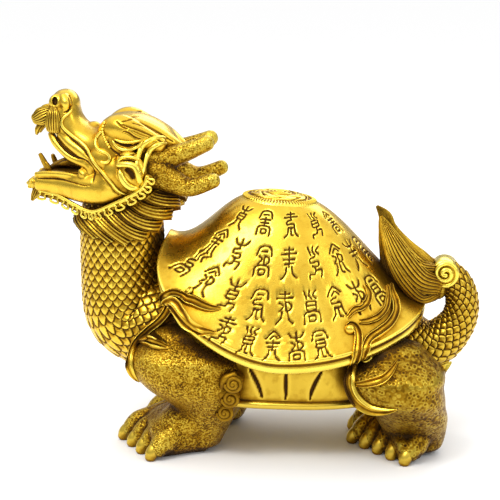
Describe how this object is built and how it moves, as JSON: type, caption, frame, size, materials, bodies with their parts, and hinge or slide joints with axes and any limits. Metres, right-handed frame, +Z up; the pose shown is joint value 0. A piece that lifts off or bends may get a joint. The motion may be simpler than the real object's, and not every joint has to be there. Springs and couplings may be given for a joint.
{
  "type": "dragon turtle figure",
  "caption": "Cast brass figure of a dragon turtle: a horned, maned dragon head on a domed turtle shell, standing on four clawed paws with a curled tail.",
  "frame": {"origin": "on the floor under the middle of the figure's bounding box, level with the soles of the paws", "axes": "+X towards the tail, -X towards the head, +Y towards the figure's right side, +Z up"},
  "size_m": [0.2958, 0.1462, 0.2285],
  "materials": {
    "brass": "polished, with dark patina in the recesses"
  },
  "bodies": {
    "root": {"dragon_turtle": "brass"}
  },
  "joints": []
}
